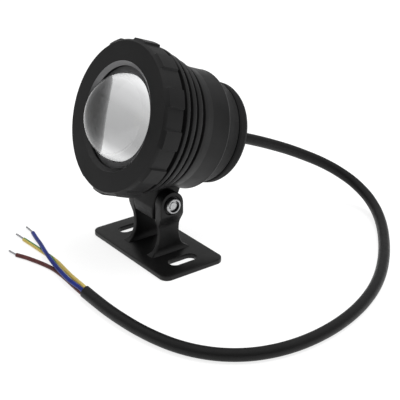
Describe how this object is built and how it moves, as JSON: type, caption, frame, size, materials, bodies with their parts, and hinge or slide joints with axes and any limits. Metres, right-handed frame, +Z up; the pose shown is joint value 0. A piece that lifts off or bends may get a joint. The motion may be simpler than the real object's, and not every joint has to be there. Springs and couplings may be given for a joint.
{
  "type": "underwater pond light",
  "caption": "Black die-cast underwater spotlight with a domed glass lens and grip-ribbed bezel, tilting on a slotted clevis foot, with a bare-ended three-core lead.",
  "frame": {"origin": "centre of the foot plate on its underside", "axes": "+Z up out of the foot plate; +X along the plate and the tilt bolt, towards the bolt head; the lamp faces -Y"},
  "size_m": [0.198, 0.2074, 0.1242],
  "materials": {
    "black_paint": "satin black paint on a die casting",
    "stainless": "turned stainless steel",
    "black_rubber": "soft black rubber",
    "lens_glass": "clear polished glass",
    "reflector_metal": "bright reflector",
    "white_board": "white solder mask on an aluminium board",
    "phosphor": "yellow phosphor over the emitter",
    "grey_pad": "grey thermal pad",
    "green_board": "green circuit board",
    "black_component": "black moulded component",
    "dark_window": "dark infrared window",
    "wire_white": "white wire insulation",
    "wire_red": "red wire insulation",
    "wire_green": "green wire insulation",
    "wire_blue": "blue wire insulation",
    "cable_jacket": "black cable jacket",
    "core_blue": "blue core insulation",
    "core_yellow_green": "yellow core insulation with a green stripe",
    "core_brown": "brown core insulation",
    "tinned_copper": "tinned copper strands"
  },
  "bodies": {
    "foot": {"bracket": "black_paint", "tilt_screw": "stainless", "flat_washer": "stainless", "spring_washer": "stainless", "tilt_nut": "stainless", "cable": "cable_jacket", "core_blue": "core_blue", "core_yellow_green": "core_yellow_green", "core_brown": "core_brown", "tip_blue": "tinned_copper", "tip_yellow_green": "tinned_copper", "tip_brown": "tinned_copper"},
    "head": {"housing": "black_paint", "front_bezel": "black_paint", "lens_gasket": "black_rubber", "lens": "lens_glass", "lens_seal": "black_rubber", "reflector": "reflector_metal", "thermal_pad": "grey_pad", "led_board": "white_board", "led_emitter": "phosphor", "led_screw_1": "stainless", "led_screw_2": "stainless", "ir_receiver": "dark_window", "driver_board": "green_board", "driver_screw_1": "stainless", "driver_screw_2": "stainless", "capacitor": "black_component", "inductor": "black_component", "rectifier": "black_component", "controller_chip": "black_component", "led_lead_common": "wire_white", "led_lead_red": "wire_red", "led_lead_green": "wire_green", "led_lead_blue": "wire_blue", "rear_cap": "black_paint", "rear_o_ring": "black_rubber", "cable_seal": "black_rubber", "gland_nut": "black_paint", "strain_relief": "black_rubber", "lead_stub": "cable_jacket"}
  },
  "joints": [
    {"name": "head_tilt", "type": "hinge", "parent": "foot", "child": "head", "pos_m": [0, 0, 0.03244], "axis": [-1, 0, 0], "range_deg": [-65, 40], "deforming": ["cable"]}
  ]
}
